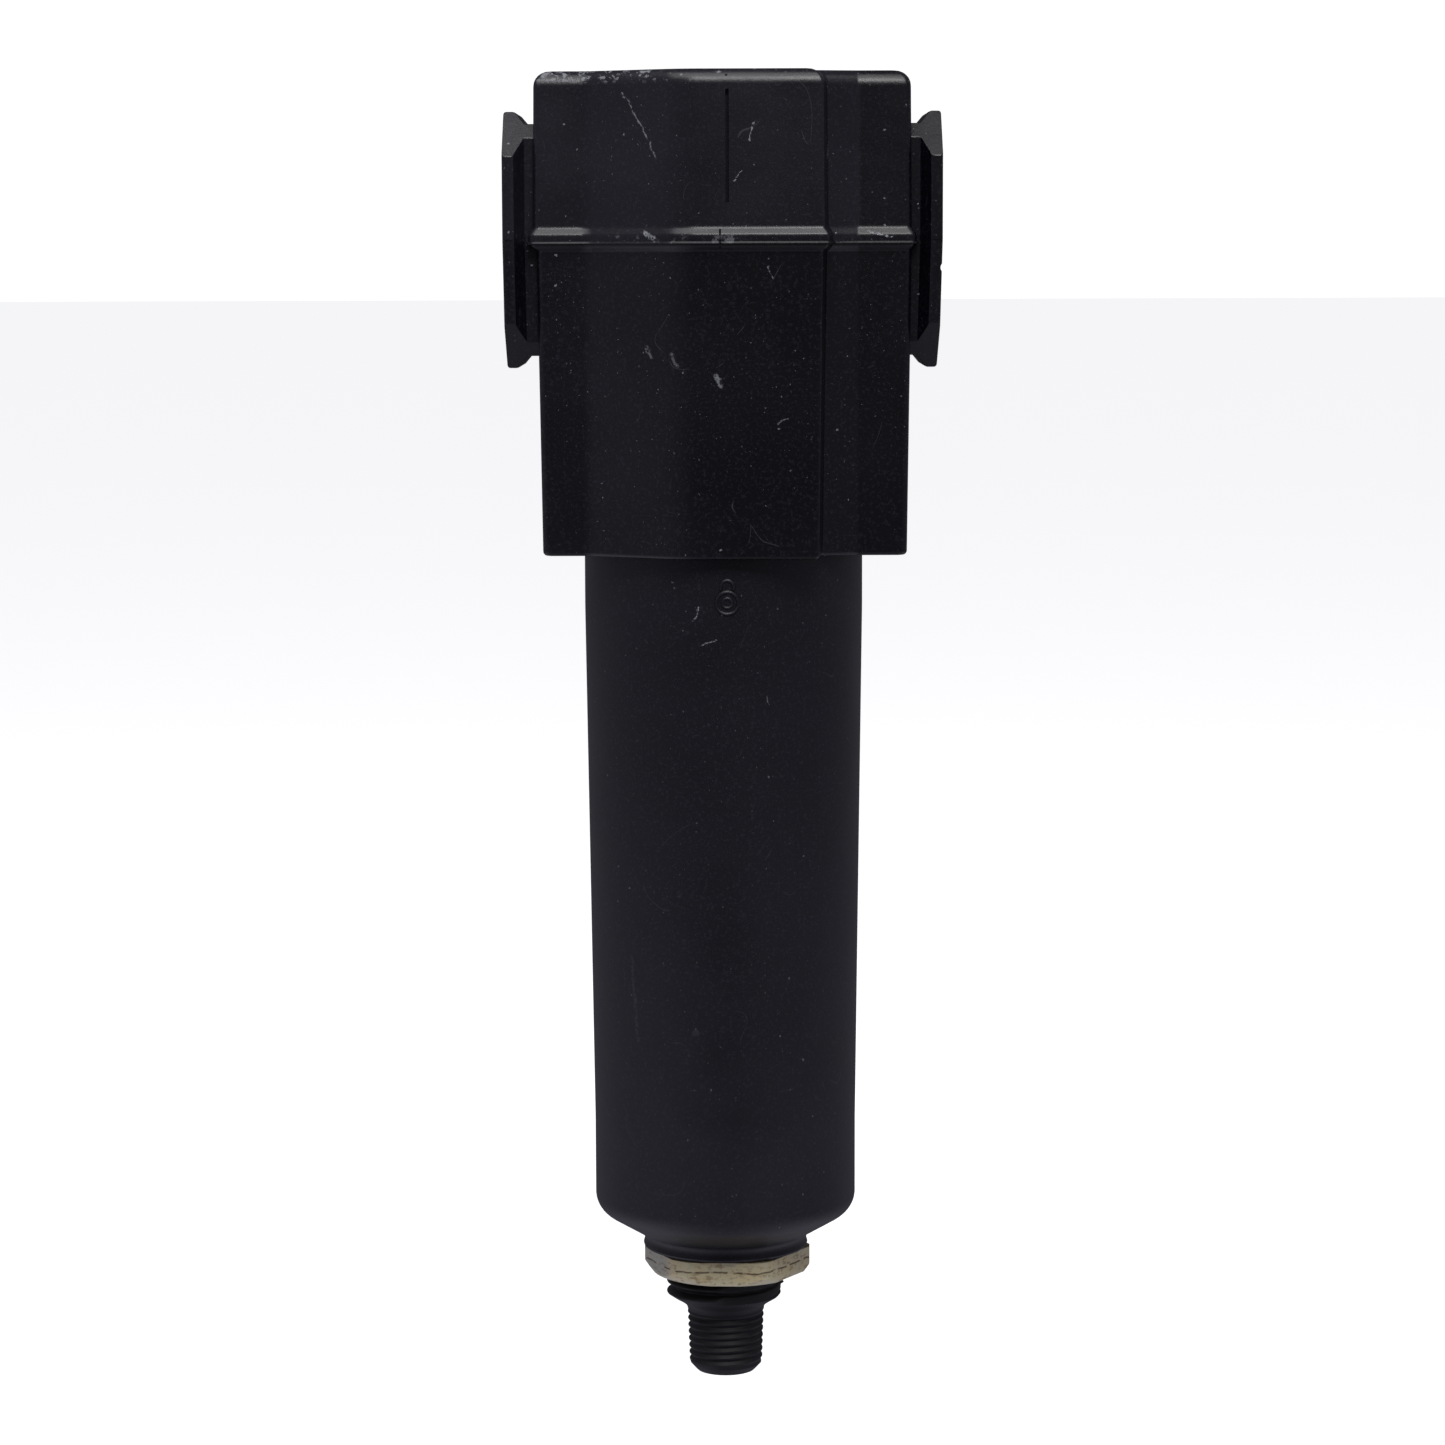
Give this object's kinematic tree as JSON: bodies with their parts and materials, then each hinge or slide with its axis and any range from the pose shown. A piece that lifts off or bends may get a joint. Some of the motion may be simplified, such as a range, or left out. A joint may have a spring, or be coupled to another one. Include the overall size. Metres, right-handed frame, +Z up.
{
  "type": "pneumatic muffler",
  "caption": "Inline pneumatic filter-muffler: die-cast head with side ports and clamp flanges, long screwed metal bowl, silencing element inside, float drain with jam nut and threaded outlet.",
  "frame": {"origin": "where the port axis crosses the bowl's axis, on the head's parting plane", "axes": "X from the inlet port to the outlet port, Y from the front to the back, Z up along the bowl's axis"},
  "size_m": [0.0562, 0.044, 0.1733],
  "materials": {
    "cast_black": "semi-gloss black paint on a die casting",
    "bowl_black": "satin black paint",
    "pale_brass": "pale tarnished plating",
    "black_nylon": "satin moulded",
    "white_acetal": "satin moulded",
    "float_plastic": "satin moulded",
    "red_nylon": "satin moulded",
    "bright_steel": "bright zinc",
    "glass_fibre": "matt fibre",
    "foam": "open foam",
    "rubber": "matt"
  },
  "bodies": {
    "housing": {"head": "cast_black", "tie_rod": "bright_steel", "element_gasket": "rubber", "element_top_cap": "red_nylon", "inner_core": "bright_steel", "media": "glass_fibre", "outer_core": "bright_steel", "drain_sock": "foam", "element_bottom_cap": "red_nylon", "baffle": "red_nylon", "rod_washer": "bright_steel", "rod_nut": "bright_steel"},
    "bowl_carrier": {"bowl_seal": "rubber"},
    "bowl_unit": {"bowl": "bowl_black", "drain_body": "black_nylon", "drain_gasket": "rubber", "jam_nut": "pale_brass", "cage": "black_nylon", "cylinder_cap": "white_acetal", "lever_pin": "bright_steel", "piston_spring": "bright_steel"},
    "float_unit": {"float": "float_plastic"},
    "lever_unit": {"lever": "white_acetal", "pilot_pad": "rubber"},
    "piston_unit": {"piston": "white_acetal", "piston_seal": "rubber", "valve_seal": "rubber"}
  },
  "joints": [
    {"name": "bowl_drop", "type": "slide", "parent": "housing", "child": "bowl_carrier", "axis": [0, 0, -1], "range_m": [0, 0.01]},
    {"name": "bowl_turn", "type": "hinge", "parent": "bowl_carrier", "child": "bowl_unit", "pos_m": [0, 0, -0.026], "axis": [0, 0, -1], "range_deg": [0, 1800]},
    {"name": "float_lift", "type": "slide", "parent": "bowl_unit", "child": "float_unit", "axis": [0, 0, 1], "range_m": [0, 0.005]},
    {"name": "lever_swing", "type": "hinge", "parent": "bowl_unit", "child": "lever_unit", "pos_m": [0.005, 0, -0.0978], "axis": [0, 1, 0], "range_deg": [0, 19.55]},
    {"name": "piston_stroke", "type": "slide", "parent": "bowl_unit", "child": "piston_unit", "axis": [0, 0, -1], "range_m": [0, 0.002], "stiffness_N_per_m": 800, "springref_m": -0.003, "deforming": ["piston_spring"]}
  ],
  "couplings": [
    {"joint": "bowl_turn", "follows": "bowl_drop", "rad_per_m": 3141.6},
    {"joint": "lever_swing", "follows": "float_lift", "rad_per_m": 68.259}
  ]
}
